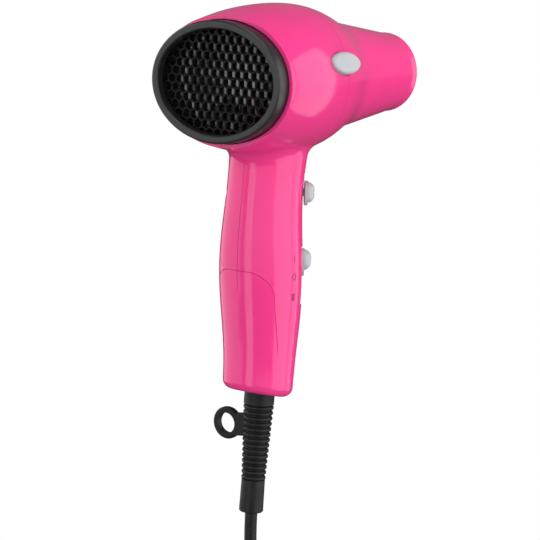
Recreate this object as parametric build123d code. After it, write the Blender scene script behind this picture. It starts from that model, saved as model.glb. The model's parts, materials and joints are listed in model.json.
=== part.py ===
from build123d import *
import math
import os

os.makedirs("parts", exist_ok=True)

# A hand-held hair dryer, in millimetres. +Z is up, +Y is the way the air blows and +X is the
# side with the switches. The origin is the middle of the grip, where a hand holds the dryer.

# ---- driving dimensions -------------------------------------------------------------------
WALL = 2.2              # moulded wall of the three housings
SEAM = 0.24             # width of the parting lines
HEAD_Z = 105.0          # height of the air path's axis above the middle of the grip
SEAM_Y = 16.0           # where the barrel meets the two rear halves
NECK_R = 9.0            # fillet between head and handle

# head: distance along the air path, half width, half height
HEAD = [
    (-40.7, 44.2, 35.0),
    (-28.0, 45.5, 37.8),
    (-14.0, 45.8, 39.9),
    (0.0, 44.8, 40.9),
    (14.0, 42.4, 40.8),
    (28.0, 39.0, 38.9),
    (40.0, 35.2, 35.5),
    (50.0, 32.0, 32.1),
    (60.0, 30.1, 30.1),
]
TIP_Y = 117.8           # outlet end of the barrel, and its straight land for an attachment
TIP_R = 23.1
LAND = 5.0

# handle: height, half width, half depth, middle of the section
HANDLE = [
    (88.0, 20.8, 21.6, 3.8),
    (57.0, 20.9, 21.5, 2.2),
    (30.0, 21.7, 21.6, -0.2),
    (-4.0, 23.5, 22.2, 0.1),
    (-33.0, 21.9, 20.0, 1.5),
    (-58.0, 20.5, 18.0, 1.2),
    (-82.0, 19.6, 17.2, 0.6),
]
FOOT_Z = -69.2          # the handle's lower end, under the origin
FOOT_TILT = 12.0        # it drops towards the front by this angle
FOOT_R = 5.5

RING_X = 42.0           # intake ring: half width and half height
RING_Z = 32.4
RING_FACE = -49.3
RING_END = -33.0
LIP = 4.4               # width of the ring's front face
GRILLE_Y = -44.6        # the grille's outer face, set back from the ring's face
GRILLE_T = 4.0
CELL = 5.2              # honeycomb pitch
CELL_WALL = 0.75

DUCT_R = 31.0           # fan duct, outside
DUCT_T = 1.5
DUCT_END = 1.5
FAN_R = 28.4
HUB_R = 13.0
FAN_Y = -20.0
BLADES = 9
VANES = 7
MOTOR_R = 13.9
MOTOR_Y0 = -7.0
MOTOR_Y1 = 25.0

SHIELD_R = 19.8         # heat shield, outside
SHIELD_Y0 = 40.0
SHIELD_Y1 = 106.0
COIL_R = 14.5           # heating coil: winding radius, wire bundle radius, pitch and turns
WIRE_R = 1.1
COIL_PITCH = 8.0
COIL_TURNS = 6
COIL_Y0 = 50.0
GRATE_Y = 107.0
GRATE_T = 2.4

SWITCH_TURN = 38.0      # the switches look this far forward of straight sideways
SPEED_FLOOR = 21.4      # flat that each knob slides on, measured from the handle's axis
HEAT_FLOOR = 21.8
SPEED_Z = 6.4           # middle of each knob's dome at rest
HEAT_Z = 43.8
SPEED_TRAVEL = 14.0     # off to high, downwards from the rest position
HEAT_TRAVEL = 4.0       # each way
KNOB_RISE = 5.9
STEM = 4.0              # the knob's stem along its travel
STEM_W = 2.6
SWITCH_TOP = -3.4       # the switches' tops, under their flats, and the board under both
BOARD_TOP = -12.7       # measured from the upper flat
BOARD_T = 1.5

BUTTON_AT = (42.0, 9.8, HEAD_Z + 10.8)
BUTTON_OUT = (0.952, 0.050, 0.301)
BUTTON_ROLL = -2.0
BUTTON_L = 27.5
BUTTON_W = 12.2
BUTTON_RISE = 3.2

RELIEF_TOP = (0, 3.0, -72.0)
RELIEF_LEAN = 3.5
RELIEF_R = 8.5
RELIEF_L = 65.5
RIBS = 14
RIB_PITCH = 3.08
CORD_R = 3.5
EYE_AT = (-20.2, 1.9, -90.2)
EYE_R = 5.9
EYE_RIM = 9.2
EYE_T = 4.0
CLAMP_UP = 21.0         # the cord clamp, above the sleeve's top along the cord
CLAMP_SCREW = 6.8

WIND_AT = (-16.4, 0.0, -223.0)   # the put-away length of cord
WIND_R = 37.6
WIND_BUNDLE = 10.9
PLUG_TOP = -284.0


# ---- helpers ------------------------------------------------------------------------------
def save(shape, name):
    """Write one sub-part as its own file."""
    export_step(shape, f"parts/{name}.step")


def rod(radius, start, end):
    """A round bar from one point to another."""
    run = Vector(*end) - Vector(*start)
    return extrude(Plane(start, z_dir=run) * Circle(radius), run.length)


def block(x0, x1, y0, y1, z0, z1):
    """A box between two corners."""
    size = Box(x1 - x0, y1 - y0, z1 - z0)
    return Pos((x0 + x1) / 2, (y0 + y1) / 2, (z0 + z1) / 2) * size


def oval_bar(half_x, half_z, y0, y1):
    """An oval bar along the air path, centred on its axis."""
    face = Plane((0, y0, HEAD_Z), x_dir=(1, 0, 0), z_dir=(0, 1, 0)) * Ellipse(half_x, half_z)
    return extrude(face, y1 - y0)


def air_bar(radius, y0, y1):
    """A round bar along the air path's axis."""
    return rod(radius, (0, y0, HEAD_Z), (0, y1, HEAD_Z))


# ---- outer shape --------------------------------------------------------------------------
def head_shape(inset=0.0, tail=0.0):
    """The head and barrel as one solid, shrunk by an inset and longer by a tail."""
    ovals = []
    for y, half_x, half_z in HEAD:
        if y == HEAD[0][0]:
            y -= tail
        frame = Plane((0, y, HEAD_Z), x_dir=(1, 0, 0), z_dir=(0, 1, 0))
        ovals.append(frame * Ellipse(half_x - inset, half_z - inset))
    root = Plane((0, HEAD[-1][0], HEAD_Z), z_dir=(0, 1, 0)) * Circle(HEAD[-1][1] - inset)
    land = Plane((0, TIP_Y - LAND, HEAD_Z), z_dir=(0, 1, 0)) * Circle(TIP_R - inset)
    return loft(ovals) + loft([root, land]) + air_bar(TIP_R - inset, TIP_Y - LAND, TIP_Y + tail)


def handle_shape(inset=0.0):
    """The handle as one solid, shrunk by an inset and cut off along its sloping foot."""
    ovals = []
    for z, half_x, half_y, mid in HANDLE:
        ovals.append(Pos(0, mid, z) * Ellipse(half_x - inset, half_y - inset))
    below = Pos(0, 0, FOOT_Z + inset) * Rot(-FOOT_TILT, 0, 0) * Pos(0, 0, -60) * Box(120, 120, 120)
    return loft(ovals) - below


def outer_shape():
    """The filleted outside of the dryer."""
    body = head_shape() + handle_shape()
    foot = [e for e in body.edges() if e.bounding_box().max.Z < FOOT_Z + 8]
    body = fillet(foot, FOOT_R)
    neck = []
    for edge in body.edges():
        size = edge.bounding_box()
        if size.min.Z > 60 and size.max.Z < 80 and size.size.Z < 10 and size.min.Y > -30:
            neck.append(edge)
    return fillet(neck, NECK_R)


# ---- switch stations ----------------------------------------------------------------------
def station(z, floor):
    """The frame of a slide switch: X up the handle, Z outwards, on the flat it slides on."""
    turn = math.radians(SWITCH_TURN)
    out = Vector(math.cos(turn), math.sin(turn), 0)
    return Plane(origin=out * floor + Vector(0, 0, z), x_dir=(0, 0, 1), z_dir=out)


SPEED = station(SPEED_Z, SPEED_FLOOR)
HEAT = station(HEAT_Z, HEAT_FLOOR)


def local_block(frame, x0, x1, width, z0, z1):
    """A box in a station's frame, centred across the handle."""
    return frame * block(x0, x1, -width / 2, width / 2, z0, z1)


def switch_flats():
    """What the two knobs' flats take off the handle."""
    low = -SPEED_TRAVEL - 11.2
    speed = local_block(SPEED, low, 8.0, 15.0, 0, 9)
    heat = local_block(HEAT, -HEAT_TRAVEL - 6.6, HEAT_TRAVEL + 6.6, 11.0, 0, 9)
    return speed + heat


def switch_pads():
    """Extra wall behind the flats, which would otherwise cut the wall too thin."""
    speed = local_block(SPEED, -SPEED_TRAVEL - 13, 10, 19, -2.0, 4)
    heat = local_block(HEAT, -HEAT_TRAVEL - 9, HEAT_TRAVEL + 9, 15, -2.0, 4)
    return speed + heat


def switch_slots():
    """The slots that the knobs' stems run in."""
    gap = 0.35
    wide = STEM_W + 2 * gap
    reach = STEM / 2 + gap
    speed = local_block(SPEED, -SPEED_TRAVEL - reach, reach, wide, -5, 3)
    heat = local_block(HEAT, -HEAT_TRAVEL - reach, HEAT_TRAVEL + reach, wide, -5, 3)
    return speed + heat


def knob(frame, tail):
    """A slide switch's knob: domed cap, thin base with a tail below it, and its stem."""
    cap = extrude(SlotOverall(11.6, 9.0), KNOB_RISE - 0.4)
    cap = fillet(cap.edges().group_by(Axis.Z)[-1], 4.2)
    base = extrude(Pos(-tail / 2, 0) * SlotOverall(12.8 + tail, 9.4), 1.7)
    stem = block(-STEM / 2, STEM / 2, -STEM_W / 2, STEM_W / 2, -5.2, 1)
    return frame * (Pos(0, 0, 0.4) * (cap + base) + stem)


def switch_body(frame, low, high, depth):
    """A slide switch behind the wall, open where the knob's stem runs in it."""
    body = block(low - 4.5, high + 4.5, -5, 5, -depth, SWITCH_TOP)
    way = block(low - 2.6, high + 2.6, -1.8, 1.8, -5.8, -3)
    for x in (low - 2.5, 0.5 * (low + high), high + 2.5):
        body += block(x - 0.5, x + 0.5, -1.5, 1.5, -2.8 - depth, -depth)
    return frame * (body - way)


# ---- button -------------------------------------------------------------------------------
BUTTON = Plane(origin=BUTTON_AT, x_dir=(-0.05, 0.95, 0), z_dir=BUTTON_OUT) * Rot(0, 0, BUTTON_ROLL)


def button_hole():
    """The oval hole in the housings that the cool-shot button moves in."""
    gap = 0.3
    bore = extrude(Ellipse(BUTTON_L / 2 + gap, BUTTON_W / 2 + gap), 16)
    return BUTTON * (Pos(0, 0, -9) * bore)


def cool_button():
    """The button: an oval block with a crowned face and a plunger behind it."""
    top = Pos(0, 0, -5.2) * extrude(Ellipse(BUTTON_L / 2, BUTTON_W / 2), 5.2 + BUTTON_RISE)
    crown = fillet(top.edges().group_by(Axis.Z)[-1], 1.9)
    plunger = Pos(4.0, 0, -7.0) * extrude(Circle(1.6), 2.5)
    return BUTTON * (crown + plunger)


def cool_switch():
    """The small switch that the button's plunger presses."""
    body = block(-1.5, 11.0, -3.2, 3.2, -16.5, -9.4)
    for x in (0.5, 4.75, 9.0):
        body += block(x - 0.3, x + 0.3, -1.6, 1.6, -18.6, -16.5)
    return BUTTON * body


# ---- housings -----------------------------------------------------------------------------
# the screws that join the rear halves: along Y, along Z, and how far out the wall is there
SCREWS = [(-11.0, 42.0, 17.3), (3.0, -24.0, 22.6), (6.4, HEAD_Z + 33.4, 24.8)]
POST_R = 4.4
COUNTERBORE = 5.0       # depth of the screw heads below the outside


def grip_outline(gap):
    """What the grip panel takes out of the back of the handle."""
    half = 18.4 + gap
    plate = block(-half, half, -40, -7.5, -90, 2.0 + gap)
    return fillet(plate.edges().filter_by(Axis.Y).group_by(Axis.Z)[-1], 13.0)


def hollow_body(outer):
    """The housings before they are split: wall, seat, pads and what is cut through them."""
    hull = outer - head_shape(WALL, 1.0) - handle_shape(WALL)
    seat = oval_bar(RING_X + 2, RING_Z + 3.6, RING_END, RING_END + 1.6)
    seat = seat - oval_bar(RING_X - 2.6, RING_Z - 2.6, RING_END - 1, RING_END + 3)
    hull = hull + seat + (switch_pads() & outer)
    hull = hull - switch_flats() - switch_slots() - button_hole()
    return hull - relief_frame() * extrude(Circle(RELIEF_R + 0.15), 14, both=True)


def front_space(gap):
    """The space of the one-piece barrel, which steps forward round the top of the handle."""
    space = block(-60, 60, SEAM_Y + gap, 130, 60, 160)
    slope = Pos(0, SEAM_Y + gap, HEAD_Z - 21) * Rot(-39, 0, 0) * Pos(0, 0, -30) * Box(120, 120, 60)
    return space - slope


def rear_half(hull, side):
    """The left (-1) or right (+1) half of the head and handle, with its screw posts."""
    edges = sorted((SEAM / 2 * side, 80 * side))
    half = hull & block(*edges, -60, 90, -90, 160)
    half = half - front_space(-SEAM / 2)
    inner = head_shape(WALL / 2) + handle_shape(WALL / 2)
    for y, z, reach in SCREWS:
        half += rod(POST_R, (SEAM / 2 * side, y, z), ((reach - 1.4) * side, y, z)) & inner
        if side > 0:
            half -= rod(1.25, (-1, y, z), (12, y, z))
        else:
            half -= rod(1.6, (1, y, z), (-50, y, z))
            half -= rod(3.1, (COUNTERBORE - reach, y, z), (-60, y, z))
    if side > 0:
        half += clamp_saddle()
    return half - grip_outline(SEAM)


def barrel(hull):
    """The front housing: a one-piece barrel with a lip that reaches into the rear halves."""
    front = hull & front_space(SEAM / 2)
    lip = oval_bar(39.9, 38.2, SEAM_Y - 3.5, SEAM_Y + 1.6)
    lip = lip - oval_bar(38.6, 36.9, SEAM_Y - 4, SEAM_Y + 2) - button_hole()
    lip = lip & block(-60, 60, 0, 60, HEAD_Z - 17, 160)
    return front + lip


def grip_panel(hull):
    """The inlaid panel down the back of the handle, with a moulding line down its middle."""
    panel = grip_outline(0) & hull
    half = SEAM / 2
    return panel - block(-half, half, -60, panel.bounding_box().min.Y + 1.0, -90, 10)


# ---- intake -------------------------------------------------------------------------------
def intake_ring():
    """The oval filter ring, with a step inside that the grille sits against."""
    ring = oval_bar(RING_X, RING_Z, RING_FACE, RING_END)
    face = ring.edges().group_by(Axis.Y)[0]
    ring = fillet(face, 1.6)
    mouth = oval_bar(RING_X - LIP, RING_Z - LIP, RING_FACE - 1, RING_END + 1)
    ring = ring - mouth
    rim = ring.edges().group_by(Axis.Y)[0]
    ring = ring - oval_bar(RING_X - 2.6, RING_Z - 2.6, GRILLE_Y, RING_END + 1)
    inner = [e for e in ring.edges() if abs(e.center().Y - RING_FACE) < 0.2]
    return chamfer(inner, 0.6)


def intake_grille():
    """The honeycomb grille: one oval plate with six-sided cells right through it."""
    row = CELL * math.sqrt(3) / 2
    cells = []
    for j in range(-7, 8):
        for i in range(-9, 10):
            x = (i + 0.5 * (j % 2)) * CELL
            z = j * row
            if (x / (RING_X - 1)) ** 2 + (z / (RING_Z - 1)) ** 2 < 1:
                side = (CELL - CELL_WALL) / math.sqrt(3)
                cells.append(Pos(x, z) * RegularPolygon(side, 6, rotation=30))
    holes = Sketch() + cells
    holes = holes & Ellipse(RING_X - LIP - 0.4, RING_Z - LIP - 0.4)
    plate = Ellipse(RING_X - 2.9, RING_Z - 2.9) - holes
    frame = Plane((0, GRILLE_Y, HEAD_Z), x_dir=(1, 0, 0), z_dir=(0, 1, 0))
    return extrude(frame * plate, GRILLE_T)


def grille_keeper():
    """The thin frame that holds the grille in the filter ring."""
    outer = oval_bar(RING_X - 2.9, RING_Z - 2.9, GRILLE_Y + GRILLE_T, RING_END)
    return outer - oval_bar(RING_X - 5.5, RING_Z - 5.5, GRILLE_Y, RING_END + 1)


# ---- fan and motor ------------------------------------------------------------------------
def blade(root, tip, y, pitch, chord, thick):
    """One blade standing out from the air path's axis, turned by its pitch."""
    flat = Box(chord, thick, tip - root)
    up = Pos(0, y, HEAD_Z + (root + tip) / 2) * Rot(0, 0, pitch)
    return up * flat


def around(shape, count):
    """Copies of a shape spaced evenly round the air path's axis."""
    axis = Axis((0, 0, HEAD_Z), (0, 1, 0))
    return [shape.rotate(axis, 360.0 * i / count) for i in range(count)]


def fan():
    """The fan: a domed hub with nine pitched blades."""
    hub = air_bar(HUB_R, FAN_Y - 6, FAN_Y + 6)
    hub = fillet(hub.edges().group_by(Axis.Y)[0], 4.0)
    one = blade(HUB_R - 1, FAN_R + 2, FAN_Y, 52.0, 13.0, 1.3)
    ring = air_bar(FAN_R, FAN_Y - 8, FAN_Y + 8)
    for wing in around(one, BLADES):
        hub += wing & ring
    return hub - air_bar(1.05, FAN_Y - 3, FAN_Y + 8)


def fan_duct():
    """The fan's duct, with an oval flange, straightening vanes and the motor's cup."""
    duct = air_bar(DUCT_R, RING_END + 1.6, DUCT_END)
    flange = oval_bar(RING_X - 0.6, RING_Z + 1.4, RING_END + 1.6, RING_END + 3.4)
    duct = duct + flange - air_bar(DUCT_R - DUCT_T, RING_END, DUCT_END + 1)
    cup = air_bar(MOTOR_R + 1.8, MOTOR_Y0 - 1.6, DUCT_END + 2)
    hollow = air_bar(MOTOR_R + 0.2, MOTOR_Y0, DUCT_END + 3)
    vane = blade(MOTOR_R + 1, DUCT_R - 1, DUCT_END - 6, 75.0, 10.0, 1.3)
    duct += cup
    for wing in around(vane, VANES):
        duct += wing
    return duct - hollow - air_bar(5.4, MOTOR_Y0 - 3, MOTOR_Y0 + 1)


def motor():
    """The direct-current motor: a can with a bearing boss at each end."""
    can = air_bar(MOTOR_R, MOTOR_Y0 + 0.1, MOTOR_Y1)
    can = fillet(can.edges().group_by(Axis.Y)[-1], 1.2)
    boss = air_bar(5.0, MOTOR_Y0 - 2.4, MOTOR_Y0 + 1)
    end = air_bar(4.6, MOTOR_Y1, MOTOR_Y1 + 1.0)
    return can + boss + end - air_bar(1.15, MOTOR_Y0 - 3, MOTOR_Y0 + 12)


def motor_board():
    """The rectifier board on the motor's back, with its four diodes."""
    board = air_bar(13.0, MOTOR_Y1 + 1.0, MOTOR_Y1 + 2.6)
    y = MOTOR_Y1 + 4.0
    for x in (-7.5, -2.5, 2.5, 7.5):
        board += rod(1.4, (x, y, HEAD_Z - 2.6), (x, y, HEAD_Z + 2.6))
    return board


# ---- heater -------------------------------------------------------------------------------
def heating_coil(radius):
    """The heating wire, wound in open turns round the two mica plates."""
    path = Helix(COIL_PITCH, COIL_PITCH * COIL_TURNS, COIL_R, center=(0, COIL_Y0, HEAD_Z),
                 direction=(0, 1, 0))
    start = Plane(path @ 0, z_dir=path % 0)
    return sweep(start * Circle(radius), path, is_frenet=True)


def mica_plate(level, room):
    """One of the two crossed mica plates: notched for the wire, slotted for the other."""
    half = SHIELD_R - 1.2
    y0, y1 = SHIELD_Y0 - 4, SHIELD_Y1 - 1
    middle = (y0 + y1) / 2
    thick = 0.4
    if level:
        plate = block(-half, half, y0, y1, HEAD_Z - thick, HEAD_Z + thick)
        slot = block(-thick - 0.05, thick + 0.05, y0 - 1, middle, HEAD_Z - 2, HEAD_Z + 2)
    else:
        plate = block(-thick, thick, y0, y1, HEAD_Z - half, HEAD_Z + half)
        slot = block(-2, 2, middle, y1 + 1, HEAD_Z - thick - 0.05, HEAD_Z + thick + 0.05)
    return plate - slot - room


def heat_shield():
    """The rolled mica tube round the heater."""
    return air_bar(SHIELD_R, SHIELD_Y0, SHIELD_Y1) - air_bar(SHIELD_R - 0.6, SHIELD_Y0 - 1, SHIELD_Y1 + 1)


def thermostat():
    """The bimetal cut-out: a ceramic block beside the upright plate, with its leaf."""
    x0 = 0.45
    foot = block(x0, x0 + 4.0, 38.0, 44.0, HEAD_Z + 4, HEAD_Z + 12)
    leaf = block(x0 + 4.0, x0 + 4.4, 30.0, 44.0, HEAD_Z + 6, HEAD_Z + 10)
    return foot + leaf


def thermal_fuse():
    """The one-shot fuse, an axial capsule under the level plate."""
    z = HEAD_Z - 0.45 - 1.9
    body = rod(1.9, (8, 38, z), (8, 47, z))
    return body + rod(0.5, (8, 34, z), (8, 38, z))


def outlet_grille():
    """The grille at the mouth: a rim, two rings and eight spokes."""
    y0, y1 = GRATE_Y, GRATE_Y + GRATE_T
    grate = air_bar(21.0, y0, y1) - air_bar(19.0, y0 - 1, y1 + 1)
    for radius in (12.6, 6.4):
        grate += air_bar(radius + 0.7, y0, y1) - air_bar(radius - 0.7, y0 - 1, y1 + 1)
    grate += air_bar(2.2, y0, y1)
    spoke = block(-0.7, 0.7, y0, y1, HEAD_Z + 1, HEAD_Z + 19.6)
    for arm in around(spoke, 8):
        grate += arm
    return grate


# ---- handle contents ----------------------------------------------------------------------
def speed_switch():
    """The lower switch: off, low and high."""
    return switch_body(SPEED, -SPEED_TRAVEL, 0, SPEED_FLOOR - HEAT_FLOOR - BOARD_TOP)


def heat_switch():
    """The upper switch: low, middle and high heat."""
    return switch_body(HEAT, -HEAT_TRAVEL, HEAT_TRAVEL, -BOARD_TOP)


def switch_board():
    """The board behind both switches."""
    low = SPEED_Z - SPEED_TRAVEL - 10 - HEAT_Z
    high = HEAT_TRAVEL + 9
    board = local_block(HEAT, low, high, 12.0, BOARD_TOP - BOARD_T, BOARD_TOP)
    return board - speed_switch() - heat_switch()


def clamp_frame():
    """The cord clamp's frame: Z up along the cord."""
    return relief_frame() * Pos(0, 0, CLAMP_UP)


def clamp_saddle():
    """The block inside the right half that the cord is clamped onto."""
    saddle = block(SEAM / 2, 19, -9.5, 9.5, -3.5, 3.5)
    for y in (-CLAMP_SCREW, CLAMP_SCREW):
        saddle -= rod(1.1, (-1, y, 0), (8, y, 0))
    saddle -= rod(CORD_R, (0, 0, -6), (0, 0, 6))
    return (clamp_frame() * saddle) & handle_shape(WALL / 2)


def cord_clamp():
    """The bar that presses the cord onto the right half, inside the handle."""
    bar = block(-5.5, -SEAM / 2, -9.5, 9.5, -3.5, 3.5)
    for y in (-CLAMP_SCREW, CLAMP_SCREW):
        bar -= rod(1.3, (-8, y, 0), (2, y, 0))
    return clamp_frame() * (bar - rod(CORD_R, (0, 0, -6), (0, 0, 6)))


def clamp_screws():
    """Two short screws that pull the clamp onto the cord."""
    screws = []
    for y in (-CLAMP_SCREW, CLAMP_SCREW):
        body = rod(2.3, (-7.5, y, 0), (-5.5, y, 0)) + rod(1.1, (-5.5, y, 0), (6, y, 0))
        screws.append(clamp_frame() * body)
    return Compound(screws)


def shell_screws():
    """The three screws that hold the rear halves together, put in from the left."""
    screws = []
    for y, z, reach in SCREWS:
        seat = COUNTERBORE - reach
        head = rod(2.7, (seat, y, z), (seat - 2.0, y, z))
        cross = block(seat - 2.1, seat - 0.9, y - 1.4, y + 1.4, z - 0.3, z + 0.3)
        cross += block(seat - 2.1, seat - 0.9, y - 0.3, y + 0.3, z - 1.4, z + 1.4)
        screws.append(head - cross + rod(1.15, (seat, y, z), (9, y, z)))
    return Compound(screws)


def inner_wires():
    """The two leads inside, from the end of the cord up to the motor."""
    routes = [
        [(-1.6, 4.7, -45.8), (-4, -4.5, -25), (-4, -4.5, 8), (-4, -2.5, 40), (-4, 10, 70), (-4, 20, 90.4)],
        [(1.6, 4.7, -45.8), (0, -4.5, -25), (0, -4.5, 8), (0, -2.5, 40), (2, 10, 70), (4, 20, 90.4)],
    ]
    wires = []
    for route in routes:
        path = FilletPolyline(*route, radius=9.0)
        start = Plane(path @ 0, z_dir=path % 0)
        wires.append(sweep(start * Circle(1.1), path))
    return Compound(wires)


# ---- strain relief and cord ---------------------------------------------------------------
def relief_frame():
    """The strain relief's own frame: Z back up into the handle along its lean."""
    return Plane(RELIEF_TOP) * Rot(-RELIEF_LEAN, 0, 0)


def strain_relief():
    """The ribbed rubber sleeve, with the hanging eye moulded on its left."""
    neck = RELIEF_R
    tip = RELIEF_R - 1.8
    half = RIB_PITCH / 2
    line = [Line((0, 8.5), (neck + 1.4, 8.5)), Line((neck + 1.4, 8.5), (neck + 1.4, 5.2)),
            Line((neck + 1.4, 5.2), (neck, 5.2)), Line((neck, 5.2), (neck, -4.0))]
    z = -4.0
    edge = neck
    for i in range(RIBS):
        radius = neck + (tip - neck) * (i + 1) / RIBS
        waist = radius - 1.1
        line.append(Line((edge, z), (waist, z)))
        line.append(Line((waist, z), (waist, z - 0.5)))
        crown = (radius + 0.15, z - half - 0.25)
        line.append(ThreePointArc((waist, z - 0.5), crown, (waist, z - RIB_PITCH)))
        edge = waist
        z -= RIB_PITCH
    line += [Line((edge, z), (tip - 0.1, z)), Line((tip - 0.1, z), (tip + 0.1, -RELIEF_L + 0.6)),
             Line((tip + 0.1, -RELIEF_L + 0.6), (tip - 0.5, -RELIEF_L)),
             Line((tip - 0.5, -RELIEF_L), (0, -RELIEF_L)), Line((0, -RELIEF_L), (0, 8.5))]
    outline = Plane.XZ * make_face(line)
    sleeve = relief_frame() * revolve(outline, Axis.Z)
    eye = Pos(EYE_AT[0], EYE_AT[1], EYE_AT[2])
    web = Polygon((5, 6.4), (EYE_RIM + 12, 8.6), (EYE_RIM + 12, -4.4), (5, -6.2), align=None)
    flat = Circle(EYE_RIM) + web
    tab = extrude(Plane.XZ * flat, EYE_T / 2, both=True)
    hole = extrude(Plane.XZ * Circle(EYE_R), EYE_T, both=True)
    tab = fillet(tab.edges().filter_by(GeomType.CIRCLE), 1.3)
    bore = relief_frame() * extrude(Circle(CORD_R), RELIEF_L + 20, both=True)
    return (sleeve + eye * tab) - eye * hole - bore


# the cord's route: from inside the handle through clamp and sleeve, then down into the winding
CORD_ROUTE = [
    (0, 4.6, -46),
    (0, -0.3, -126),
    (0, -1.2, -143),
    (0, 0.8, -166),
    (0, 1.0, -190),
    (-2, 7, -208),
    (-6, 18, -222),
    (-11, 30, -232),
]
TAIL_ROUTE = [
    (-16.4, 37.9, -247),
    (-16.4, 37.0, -265),
    (-16.4, 37.6, PLUG_TOP),
]


def cord_tube(route, name):
    """A round cord along straight runs joined by the largest arcs that fit."""
    points = [Vector(*p) for p in route]
    radii = []
    for a, b, c in zip(points, points[1:], points[2:]):
        shorter = min((b - a).length, (c - b).length)
        turn = math.radians((b - a).get_angle(c - b))
        radii.append(0.45 * shorter / math.tan(turn / 2))
    path = FilletPolyline(*points, radius=radii)
    start = Plane(path @ 0, z_dir=path % 0)
    tube = sweep(start * Circle(CORD_R), path)
    print(name, "radii", [round(r) for r in radii], "length", round(path.length, 1),
          "volume ratio", round(tube.volume / (math.pi * CORD_R ** 2 * path.length), 4))
    return tube


def cord_winding():
    """The put-away length, as one round coil hanging from the cord."""
    frame = Plane(WIND_AT, z_dir=(1, 0, 0))
    return frame * Torus(WIND_R, WIND_BUNDLE)


def coil_tie():
    """The strap round the top of the winding."""
    x, y, z = WIND_AT
    start = (x, y - 4.0, z + WIND_R)
    end = (x, y + 4.0, z + WIND_R)
    return rod(WIND_BUNDLE + 1.1, start, end) - rod(WIND_BUNDLE - 0.1, start, end)


def plug_body():
    """The moulded plug: a rounded block with a tapered neck."""
    x, y, _ = TAIL_ROUTE[-1]
    neck = Pos(x, y, PLUG_TOP - 12) * extrude(Circle(6.5), 12, taper=9)
    block_top = PLUG_TOP - 10
    body = Pos(x, y, block_top - 13) * Box(26, 18, 26)
    body = fillet(body.edges(), 4.0)
    return neck + body


def plug_blades():
    """The plug's two flat blades."""
    x, y, _ = TAIL_ROUTE[-1]
    base = PLUG_TOP - 36
    blades = []
    for side in (-1, 1):
        one = block(-0.75, 0.75, -3.2, 3.2, -17, 0.0)
        tip = one.edges().filter_by(Axis.X).group_by(Axis.Z)[0]
        blades.append(Pos(x + 6.35 * side, y, base) * fillet(tip, 1.5))
    return Compound(blades)


# ---- build --------------------------------------------------------------------------------
outer = outer_shape()
hull = hollow_body(outer)
save(rear_half(hull, -1), "left_shell")
save(rear_half(hull, 1), "right_shell")
save(barrel(hull), "barrel_shell")
save(grip_panel(hull), "grip_panel")
save(intake_ring(), "intake_ring")
save(intake_grille(), "intake_grille")
save(grille_keeper(), "grille_keeper")

save(fan(), "fan")
save(rod(1.05, (0, FAN_Y - 3, HEAD_Z), (0, MOTOR_Y0 + 11, HEAD_Z)), "motor_shaft")
save(fan_duct(), "fan_duct")
save(motor(), "motor")
save(motor_board(), "motor_board")

save(heating_coil(WIRE_R), "heating_coil")
wire_room = heating_coil(WIRE_R + 0.15)
save(mica_plate(False, wire_room), "mica_plate_upright")
save(mica_plate(True, wire_room), "mica_plate_level")
save(heat_shield(), "heat_shield")
save(thermostat(), "thermostat")
save(thermal_fuse(), "thermal_fuse")
save(outlet_grille(), "outlet_grille")

save(knob(SPEED, 2.6), "speed_knob")
save(knob(HEAT, 0.8), "heat_knob")
save(speed_switch(), "speed_switch")
save(heat_switch(), "heat_switch")
save(switch_board(), "switch_board")
save(cool_button(), "cool_button")
save(cool_switch(), "cool_switch")
save(cord_clamp(), "cord_clamp")
save(clamp_screws(), "clamp_screws")
save(shell_screws(), "shell_screws")
save(inner_wires(), "inner_wires")

save(strain_relief(), "strain_relief")
save(cord_tube(CORD_ROUTE, "cord"), "cord")
save(cord_tube(TAIL_ROUTE, "cord_tail"), "cord_tail")
save(cord_winding(), "cord_coil")
save(coil_tie(), "coil_tie")
save(plug_body(), "plug_body")
save(plug_blades(), "plug_blades")
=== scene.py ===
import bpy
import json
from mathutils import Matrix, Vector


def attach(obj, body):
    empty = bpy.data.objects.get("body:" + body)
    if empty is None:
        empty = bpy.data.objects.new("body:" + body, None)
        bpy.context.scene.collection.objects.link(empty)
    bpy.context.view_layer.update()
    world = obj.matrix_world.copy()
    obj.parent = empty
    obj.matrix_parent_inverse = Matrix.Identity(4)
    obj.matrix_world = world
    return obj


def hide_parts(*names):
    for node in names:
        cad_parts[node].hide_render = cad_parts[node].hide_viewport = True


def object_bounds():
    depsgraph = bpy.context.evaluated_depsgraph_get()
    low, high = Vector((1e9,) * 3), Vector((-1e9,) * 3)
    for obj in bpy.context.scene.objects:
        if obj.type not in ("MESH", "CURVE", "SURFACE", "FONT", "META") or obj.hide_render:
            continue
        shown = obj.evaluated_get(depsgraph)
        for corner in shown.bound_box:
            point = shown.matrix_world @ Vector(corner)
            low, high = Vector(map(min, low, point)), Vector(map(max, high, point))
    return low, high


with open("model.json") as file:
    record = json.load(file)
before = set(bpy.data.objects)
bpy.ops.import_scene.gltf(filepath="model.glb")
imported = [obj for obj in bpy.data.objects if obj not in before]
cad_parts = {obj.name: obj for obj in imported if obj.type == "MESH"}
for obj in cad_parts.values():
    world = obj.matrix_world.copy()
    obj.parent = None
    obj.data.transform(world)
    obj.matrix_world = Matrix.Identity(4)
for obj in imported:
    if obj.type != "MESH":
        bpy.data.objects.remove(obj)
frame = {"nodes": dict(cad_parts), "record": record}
cad_box = [list(corner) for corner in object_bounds()]

# %% [markdown]
# # A pink hair dryer
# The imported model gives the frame: every solid of the dryer is already in place, in metres, with
# its origin in the middle of the grip. This lesson adds what a solid can't say: how the cord
# hangs, what each material is, and how the studio lights it.

# %% Tools and shorthands
import bmesh
import bpy
import json
import math
from mathutils import Matrix, Vector
from mathutils.bvhtree import BVHTree

nodes_in = frame["nodes"]
print("parts in the frame:", len(nodes_in))

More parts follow.
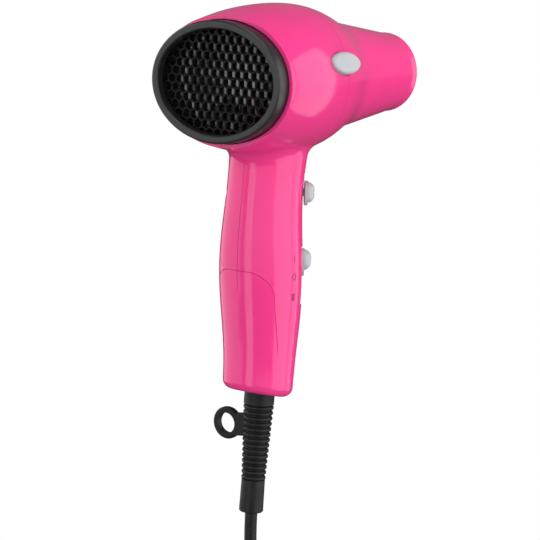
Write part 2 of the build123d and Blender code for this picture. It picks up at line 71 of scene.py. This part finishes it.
# %% [markdown]
# ## The camera
# The dryer is looked at from its intake and to one side, a little from above, with a long lens.
# The camera is set by an azimuth, a rise and a roll about a point near the top of the handle, and
# is then tipped down so that the cord leaves the lower edge of the picture. Tipping keeps the lens
# unshifted, so every other view stays centred.

# %% Place the camera
LOOK_AT = Vector((0.0, 0.004, 0.045))
VIEW_AZIMUTH = 35.0
VIEW_RISE = 7.18
VIEW_ROLL = 2.17
VIEW_DISTANCE = 1.1
TIP_DOWN = 2.34
PAN_RIGHT = 0.05
LENS_MM = 133.5
SENSOR_MM = 36.0
NEAREST = 0.05
FARTHEST = 50.0

camera_data = bpy.data.cameras.new("camera")
camera_data.lens = LENS_MM
camera_data.sensor_width = SENSOR_MM
camera_data.clip_start = NEAREST
camera_data.clip_end = FARTHEST
camera = bpy.data.objects.new("camera", camera_data)
bpy.context.collection.objects.link(camera)
turn = (Matrix.Rotation(math.radians(VIEW_AZIMUTH), 4, "Z")
        @ Matrix.Rotation(math.radians(90.0 - VIEW_RISE), 4, "X")
        @ Matrix.Rotation(math.radians(VIEW_ROLL), 4, "Z"))
stand = LOOK_AT + turn.to_3x3() @ Vector((0.0, 0.0, VIEW_DISTANCE))
camera.matrix_world = (Matrix.Translation(stand) @ turn
                       @ Matrix.Rotation(math.radians(-TIP_DOWN), 4, "X")
                       @ Matrix.Rotation(math.radians(-PAN_RIGHT), 4, "Y"))
bpy.context.scene.camera = camera
print("camera stands at", [round(value, 3) for value in stand])

# %% [markdown]
# ## The cord
# A mains lead keeps its length. This one leaves the ribbed sleeve, hangs straight down, swings
# forward and is wound up for storage in a neat ring, from which the last stretch drops to the
# plug. One open NURBS curve follows the whole run, because the points of such a curve pull it
# into smooth bends with no corner. The ring's laps are packed like a bundle of pencils: each lap
# keeps to its lane and slips into the next one in a short crossing. The lead-in has a lane of its
# own beside the first, so it joins the ring without a tight turn.

# %% The cord's points from the sleeve to the ring, and from the ring to the plug
CORD_DIAMETER = 0.007
LEAD_IN = [
    (0, -0.0003, -0.126),
    (0, -0.0010, -0.143),
    (0, -0.0004, -0.156),
    (-0.0001, 0.0000, -0.1665),
    (-0.0005, 0.0013, -0.1757),
    (-0.0015, 0.0045, -0.1838),
    (-0.0033, 0.0096, -0.1904),
]
TAIL = [
    (-0.0198, 0.0436, -0.234),
    (-0.0192, 0.0424, -0.246),
    (-0.0180, 0.0402, -0.260),
    (-0.0168, 0.0384, -0.273),
    (-0.0164, 0.0376, -0.286),
]
print("points before the ring:", len(LEAD_IN), "and after it:", len(TAIL))

# %% The ring's laps, worked out from its lanes
RING_CENTRE = Vector((-0.0164, 0.0, -0.223))
RING_RADIUS = 0.0376
LANE_GAP = 0.0072
START_ANGLE = -60.0
END_ANGLE = 2160.0
CROSSING_AT = 335.0
CROSSING = 90.0
STEP = 15.0


def lane(number):
    """Sideways and outward offset of one of the ring's lanes, counting the lead-in as lane 0."""
    row = LANE_GAP * math.sqrt(3) / 2
    half = LANE_GAP / 2
    inner_row = [(3 * half, -row), (half, -row), (-half, -row)]
    middle_row = [(-2 * half, 0), (0, 0), (2 * half, 0)]
    outer_row = [(half, row), (-half, row)]
    lanes = inner_row + middle_row + outer_row
    return Vector(lanes[min(number, len(lanes) - 1)])


def ring_point(angle):
    """A point of the wound cord, by the angle wound so far."""
    laps = (angle - CROSSING_AT + CROSSING / 2) / 360.0
    number = math.floor(laps) + 2
    into = (laps - math.floor(laps)) * 360.0 / CROSSING
    offset = lane(number)
    if into < 1.0:
        ease = into * into * (3.0 - 2.0 * into)
        offset = lane(number - 1).lerp(lane(number), ease)
    radius = RING_RADIUS + offset.y
    around = math.radians(angle)
    place = Vector((offset.x, radius * math.cos(around), -radius * math.sin(around)))
    return RING_CENTRE + place


steps = int((END_ANGLE - START_ANGLE) / STEP) + 1
ring_points = [tuple(ring_point(START_ANGLE + STEP * i)) for i in range(steps)]
route = LEAD_IN + ring_points + TAIL
print("points along the cord:", len(route))


# %% Draw the cord as one smooth curve
def smooth_tube(name, points, radius):
    """A round tube along one open NURBS spline, its thickness carried by the points."""
    curve = bpy.data.curves.new(name, "CURVE")
    curve.dimensions = "3D"
    curve.bevel_depth = 1.0  # one metre, so that each point's own radius is the tube's radius
    curve.bevel_resolution = 4
    curve.resolution_u = 4
    curve.use_fill_caps = True
    spline = curve.splines.new("NURBS")
    spline.points.add(len(points) - 1)
    for point, place in zip(spline.points, points):
        point.co = (*place, 1.0)
        point.radius = radius
    spline.order_u = 3
    spline.use_endpoint_u = True
    tube = bpy.data.objects.new(name, curve)
    bpy.context.collection.objects.link(tube)
    return tube


cord = smooth_tube("mains_cord", route, CORD_DIAMETER / 2)
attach(cord, "dryer")
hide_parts("cord", "cord_coil", "cord_tail")
print("laps in the ring:", round((END_ANGLE - START_ANGLE) / 360.0, 1))

# %% [markdown]
# ## Finishes
# Real plastic is never one flat colour. The mould leaves a faint ripple that bends reflections,
# the gloss varies where hands polish it, and the tint drifts a little from place to place. Each
# finish here is a small network of noise that reads the part's own coordinates, so the pattern
# stays with the part when it moves. One helper builds the common network, and each finish then
# sets its own scale and strength.

# %% A helper that starts every finish
def start_finish(name, colour, roughness, metallic=0.0):
    """A material with its shader, and a texture coordinate fixed to the part."""
    finish = bpy.data.materials.new(name)
    finish.use_nodes = True
    tree = finish.node_tree
    shader = tree.nodes["Principled BSDF"]
    shader.inputs["Base Color"].default_value = (*colour, 1.0)
    shader.inputs["Roughness"].default_value = roughness
    shader.inputs["Metallic"].default_value = metallic
    place = tree.nodes.new("ShaderNodeTexCoord")
    return finish, tree, shader, place.outputs["Object"]


def noise(tree, place, scale, detail=3.0, stretch=None):
    """A noise texture in turns per metre, stretched along an axis if asked."""
    if stretch:
        mapping = tree.nodes.new("ShaderNodeMapping")
        mapping.inputs["Scale"].default_value = stretch
        tree.links.new(place, mapping.inputs["Vector"])
        place = mapping.outputs["Vector"]
    texture = tree.nodes.new("ShaderNodeTexNoise")
    texture.inputs["Scale"].default_value = scale
    texture.inputs["Detail"].default_value = detail
    tree.links.new(place, texture.inputs["Vector"])
    return texture.outputs["Fac"]


NOISE_LOW = 0.3
NOISE_HIGH = 0.7


def spread(tree, value, low, high):
    """Maps the middle of a noise's values, where nearly all of them lie, to a range."""
    ramp = tree.nodes.new("ShaderNodeMapRange")
    ramp.inputs["From Min"].default_value = NOISE_LOW
    ramp.inputs["From Max"].default_value = NOISE_HIGH
    ramp.inputs["To Min"].default_value = low
    ramp.inputs["To Max"].default_value = high
    tree.links.new(value, ramp.inputs["Value"])
    return ramp.outputs["Result"]


MIX_FACTOR = 0
MIX_FIRST = 6
MIX_SECOND = 7
MIX_COLOUR_OUT = 2


def blend_colours(tree, factor, first, second):
    """Mixes two colours by a factor from 0 to 1, by the mix node's colour sockets."""
    mix = tree.nodes.new("ShaderNodeMix")
    mix.data_type = "RGBA"
    mix.inputs[MIX_FIRST].default_value = (*first, 1.0)
    mix.inputs[MIX_SECOND].default_value = (*second, 1.0)
    tree.links.new(factor, mix.inputs[MIX_FACTOR])
    return mix.outputs[MIX_COLOUR_OUT]


def bump(tree, shader, height, strength, distance):
    """Tilts the surface by a height pattern, distance in metres."""
    relief = tree.nodes.new("ShaderNodeBump")
    relief.inputs["Strength"].default_value = strength
    relief.inputs["Distance"].default_value = distance
    tree.links.new(height, relief.inputs["Height"])
    tree.links.new(relief.outputs["Normal"], shader.inputs["Normal"])


BLOTCH_TO_GRAIN = 40.0
RUB_TO_GRAIN = 12.0
GRAIN_IN_RIPPLE = 0.15


def grained(name, light, dark, gloss, grain, depth, ripple=0.0, metallic=0.0, stretch=None):
    """A finish with blotchy colour, uneven gloss and a fine grain, optionally drawn out."""
    finish, tree, shader, place = start_finish(name, light, gloss[0], metallic)
    blotch = spread(tree, noise(tree, place, grain / BLOTCH_TO_GRAIN, 4.0), 0.0, 1.0)
    tree.links.new(blend_colours(tree, blotch, light, dark), shader.inputs["Base Color"])
    rubbed = spread(tree, noise(tree, place, grain / RUB_TO_GRAIN, 5.0, stretch), *gloss)
    tree.links.new(rubbed, shader.inputs["Roughness"])
    fine = noise(tree, place, grain, 2.0, stretch)
    height = fine
    if ripple:
        wave = noise(tree, place, ripple, 1.0)
        both = tree.nodes.new("ShaderNodeMath")
        both.operation = "MULTIPLY_ADD"
        both.inputs[1].default_value = GRAIN_IN_RIPPLE
        tree.links.new(fine, both.inputs[0])
        tree.links.new(wave, both.inputs[2])
        height = both.outputs[0]
    bump(tree, shader, height, 1.0, depth)
    return finish, shader


# %% [markdown]
# ## Plastics and rubber
# The housing is glossy and coloured right through. Its grey switches are satin so that a thumb
# doesn't slip, and the filter ring is satin black. The honeycomb is the same black plastic, but it
# is given a darker, barely reflecting copy of it, as painted shade for its recess behind the ring.
# The cord and its sleeve are soft and dull.

# %% Plastics and rubber
pink, pink_shader = grained("pink_gloss", (0.93, 0.050, 0.272), (0.90, 0.046, 0.258),
                            (0.11, 0.17), 1400.0, 0.000004, ripple=60.0)
pink_shader.inputs["Specular IOR Level"].default_value = 0.42
black, _ = grained("black_satin", (0.012, 0.012, 0.013), (0.020, 0.020, 0.021),
                   (0.26, 0.40), 2600.0, 0.000012)
# painted shade: a darker, barely reflecting copy of the black plastic, standing in for the shade
# inside the recessed honeycomb
shaded_grille_black, shaded_grille_shader = grained("grille_black_painted_shade", (0.003, 0.003, 0.003), (0.006, 0.006, 0.006),
                                     (0.24, 0.40), 2200.0, 0.000010)
shaded_grille_shader.inputs["Specular IOR Level"].default_value = 0.12
grey, _ = grained("grey_satin", (0.50, 0.52, 0.54), (0.46, 0.48, 0.50),
                  (0.32, 0.46), 3000.0, 0.000012)
rubber, rubber_shader = grained("black_rubber", (0.006, 0.006, 0.006), (0.011, 0.011, 0.011),
                                (0.36, 0.52), 1800.0, 0.000020)
rubber_shader.inputs["Specular IOR Level"].default_value = 0.24
white, _ = grained("white_nylon", (0.74, 0.74, 0.70), (0.66, 0.66, 0.62),
                   (0.38, 0.52), 2000.0, 0.000015)
lead_cover, _ = grained("lead_cover", (0.72, 0.72, 0.72), (0.62, 0.62, 0.62),
                        (0.35, 0.50), 1200.0, 0.000015)
legend, _ = grained("legend_paint", (0.30, 0.004, 0.060), (0.24, 0.003, 0.050),
                    (0.35, 0.50), 2400.0, 0.000010)
print("plastics and rubber: 8 finishes")

# %% [markdown]
# ## Metals and heater parts
# Metal is metallic, and its grain is drawn out along the way it was turned or rolled. The heater
# is wound on pressed mica, whose flakes show as large blotches, with oxidised resistance wire and
# fired ceramic about it.

# %% Metals and heater parts
steel, _ = grained("plated_steel", (0.62, 0.61, 0.59), (0.50, 0.49, 0.47),
                   (0.20, 0.38), 900.0, 0.000010, metallic=1.0, stretch=(1.0, 0.06, 1.0))
brass, _ = grained("blade_brass", (0.78, 0.60, 0.28), (0.68, 0.50, 0.22),
                   (0.22, 0.40), 900.0, 0.000010, metallic=1.0, stretch=(1.0, 1.0, 0.06))
wire, _ = grained("heater_wire", (0.30, 0.27, 0.25), (0.16, 0.14, 0.15),
                  (0.35, 0.60), 700.0, 0.000020, metallic=1.0)
mica, _ = grained("pressed_mica", (0.52, 0.44, 0.30), (0.34, 0.28, 0.19),
                  (0.20, 0.55), 520.0, 0.000040)
board, _ = grained("paper_board", (0.36, 0.20, 0.07), (0.28, 0.15, 0.05),
                   (0.40, 0.60), 800.0, 0.000020, stretch=(1.0, 1.0, 0.3))
ceramic, _ = grained("fired_ceramic", (0.80, 0.78, 0.72), (0.70, 0.68, 0.62),
                     (0.35, 0.60), 1500.0, 0.000020)
print("metals and heater parts: 6 finishes")

# %% Give each part its finish
SHADED_GRILLE_PARTS = ("intake_grille", "grille_keeper", "outlet_grille")
FINISHES = {
    "pink_housing": pink,
    "black_plastic": black,
    "grey_plastic": grey,
    "black_rubber": rubber,
    "steel": steel,
    "brass": brass,
    "heating_wire": wire,
    "white_plastic": white,
    "mica": mica,
    "circuit_board": board,
    "ceramic": ceramic,
    "lead_cover": lead_cover,
}
for part in frame["record"]["subparts"]:
    finish = FINISHES[part["material_slot"]]
    # painted shade: the grille parts are black plastic like the ring, but get the darker copy that
    # stands in for the shade of their recess
    if part["node"] in SHADED_GRILLE_PARTS:
        finish = shaded_grille_black
    mesh = nodes_in[part["node"]].data
    mesh.materials.clear()
    mesh.materials.append(finish)
cord.data.materials.append(rubber)

# %% [markdown]
# ## The switch's marks
# Beside the lower switch three marks are pad-printed on the handle: two strokes for high, one
# for low and a ring for off. Ink has no thickness to speak of, but it follows the curve of the
# handle, so each mark is cut flat, dropped sideways onto the shell and given a hair of body.

# %% The marks' sizes, and the shell that they land on
MARK_HEIGHT = 0.0039
MARK_STROKE = 0.0007
INK = 0.00012
INK_LIFT = 0.6 * INK
RING_WIDE = 0.8
RING_EDGES = 40
MARK_BACK = 0.0016
OUTSIDE = 0.06
LOW_Z = 0.0090
OFF_Z = -0.0008
HIGH_Z = -0.0120
shell = bmesh.new()
shell.from_mesh(nodes_in["right_shell"].data)
shell_tree = BVHTree.FromBMesh(shell)
shell.free()
print("marks are", MARK_HEIGHT * 1000, "mm tall")

# %% Cut flat marks and drop them onto the handle
def stroke_mark(flat, aside):
    """Adds an upright stroke, off to one side, to a flat mark."""
    made = bmesh.ops.create_grid(flat, x_segments=2, y_segments=8, size=0.5)
    bmesh.ops.scale(flat, verts=made["verts"], vec=(MARK_STROKE, MARK_HEIGHT, 1))
    bmesh.ops.translate(flat, verts=made["verts"], vec=(aside, 0, 0))


def ring_mark(flat):
    """Adds a narrow upright ring to a flat mark."""
    bmesh.ops.create_circle(flat, cap_ends=False, segments=RING_EDGES, radius=MARK_HEIGHT / 2)
    grown = bmesh.ops.extrude_edge_only(flat, edges=flat.edges[:])
    inner = [part for part in grown["geom"] if isinstance(part, bmesh.types.BMVert)]
    shrink = 1.0 - 2.0 * MARK_STROKE / MARK_HEIGHT
    bmesh.ops.scale(flat, verts=inner, vec=(shrink, shrink, 1))
    bmesh.ops.scale(flat, verts=flat.verts[:], vec=(RING_WIDE, 1, 1))


def print_mark(name, flat, height):
    """Lays a flat mark on the handle's side at a height, and makes it a piece."""
    for vert in flat.verts:
        aim = Vector((OUTSIDE, vert.co.x - MARK_BACK, height + vert.co.y))
        spot = shell_tree.ray_cast(aim, Vector((-1, 0, 0)))[0]
        vert.co = spot + Vector((INK_LIFT, 0, 0))
    bmesh.ops.recalc_face_normals(flat, faces=flat.faces)
    bmesh.ops.solidify(flat, geom=flat.faces[:], thickness=INK)
    bmesh.ops.recalc_face_normals(flat, faces=flat.faces)
    mesh = bpy.data.meshes.new(name)
    flat.to_mesh(mesh)
    flat.free()
    mesh.materials.append(legend)
    mark = bpy.data.objects.new(name, mesh)
    bpy.context.collection.objects.link(mark)
    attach(mark, "dryer")


low_mark = bmesh.new()
stroke_mark(low_mark, 0.0)
print_mark("mark_low", low_mark, LOW_Z)
off_mark = bmesh.new()
ring_mark(off_mark)
print_mark("mark_off", off_mark, OFF_Z)
high_mark = bmesh.new()
for aside in (-MARK_STROKE, MARK_STROKE):
    stroke_mark(high_mark, aside)
print_mark("mark_high", high_mark, HIGH_Z)
print("marks printed: low, off and high")

# %% [markdown]
# ## The room
# A product like this is shot against white paper. To the camera the floor and the room are pure
# white, but to the dryer they are dim, so that its glossy shell isn't washed out by a reflection
# of white all round. The floor lies far below, where it can't hide the foot of a softbox.

# %% Floor
FLOOR_DROP = 1.2
FLOOR_SIZE = 30.0
FLOOR_GREY = 0.22
FLOOR_Z = cad_box[0][2] - FLOOR_DROP
floor_mesh = bpy.data.meshes.new("floor")
paper = bmesh.new()
bmesh.ops.create_grid(paper, x_segments=1, y_segments=1, size=FLOOR_SIZE)
bmesh.ops.translate(paper, verts=paper.verts, vec=(0, 0, FLOOR_Z))
paper.to_mesh(floor_mesh)
paper.free()
paper_white = bpy.data.materials.new("paper_white")
paper_white.use_nodes = True
paper_tree = paper_white.node_tree
dim_paper = paper_tree.nodes["Principled BSDF"]
dim_paper.inputs["Base Color"].default_value = (FLOOR_GREY, FLOOR_GREY, FLOOR_GREY, 1.0)
dim_paper.inputs["Roughness"].default_value = 0.9
glow = paper_tree.nodes.new("ShaderNodeEmission")
glow.inputs["Strength"].default_value = 1.0
seen = paper_tree.nodes.new("ShaderNodeLightPath")
either = paper_tree.nodes.new("ShaderNodeMixShader")
paper_tree.links.new(seen.outputs["Is Camera Ray"], either.inputs["Fac"])
paper_tree.links.new(dim_paper.outputs["BSDF"], either.inputs[1])
paper_tree.links.new(glow.outputs["Emission"], either.inputs[2])
paper_tree.links.new(either.outputs["Shader"], paper_tree.nodes["Material Output"].inputs["Surface"])
floor_mesh.materials.append(paper_white)
floor = bpy.data.objects.new("floor", floor_mesh)
bpy.context.collection.objects.link(floor)
print("floor at", round(FLOOR_Z, 3))

# %% Room
ROOM_FILL = 0.2

world = bpy.data.worlds.new("room")
bpy.context.scene.world = world
world.use_nodes = True
room_tree = world.node_tree
room_fill = room_tree.nodes["Background"]
room_fill.inputs["Color"].default_value = (1.0, 1.0, 1.0, 1.0)
room_fill.inputs["Strength"].default_value = ROOM_FILL
backdrop = room_tree.nodes.new("ShaderNodeBackground")
backdrop.inputs["Color"].default_value = (1.0, 1.0, 1.0, 1.0)
room_ray = room_tree.nodes.new("ShaderNodeLightPath")
room_mix = room_tree.nodes.new("ShaderNodeMixShader")
room_tree.links.new(room_ray.outputs["Is Camera Ray"], room_mix.inputs["Fac"])
room_tree.links.new(room_fill.outputs["Background"], room_mix.inputs[1])
room_tree.links.new(backdrop.outputs["Background"], room_mix.inputs[2])
room_tree.links.new(room_mix.outputs["Shader"], room_tree.nodes["World Output"].inputs["Surface"])
bpy.context.scene.view_settings.view_transform = "Standard"
print("room fill:", ROOM_FILL)

# %% [markdown]
# ## The lights
# A glossy, round handle mirrors each light as a bright band, as long and as wide as the light is
# from there. A broad softbox on the right makes the wide pale band down the handle and over the
# head, a narrow one near the camera makes the thin line on the left, and a third, farther round,
# makes the pale patch behind the filter ring. Two weaker fills and one from above keep the rest
# from going dark.

# %% Softboxes
AIM = Vector((0, 0, 0.03))


def softbox(name, azimuth, rise, distance, width, height, power):
    """A rectangular light that faces the dryer from an azimuth and a rise, both in degrees."""
    lamp = bpy.data.lights.new(name, "AREA")
    lamp.shape = "RECTANGLE"
    lamp.size = width
    lamp.size_y = height
    lamp.energy = power
    turned = (Matrix.Rotation(math.radians(azimuth), 4, "Z")
              @ Matrix.Rotation(math.radians(90.0 - rise), 4, "X"))
    away = turned.to_3x3() @ Vector((0.0, 0.0, distance))
    box = bpy.data.objects.new(name, lamp)
    box.matrix_world = Matrix.Translation(AIM + away) @ turned
    bpy.context.collection.objects.link(box)


softbox("right_softbox", 96, 2, 1.5, 1.65, 2.5, 25)
softbox("left_softbox", -5, 2, 1.6, 0.56, 2.5, 9)
softbox("far_softbox", 143, 1, 1.6, 0.86, 2.1, 8)
softbox("left_fill", -70, 5, 1.8, 3.6, 2.4, 30)
softbox("rear_fill", 35, 12, 2.2, 3.0, 2.4, 16)
softbox("top_softbox", 45, 80, 1.6, 1.4, 1.4, 9)
print("lights:", len(bpy.data.lights))
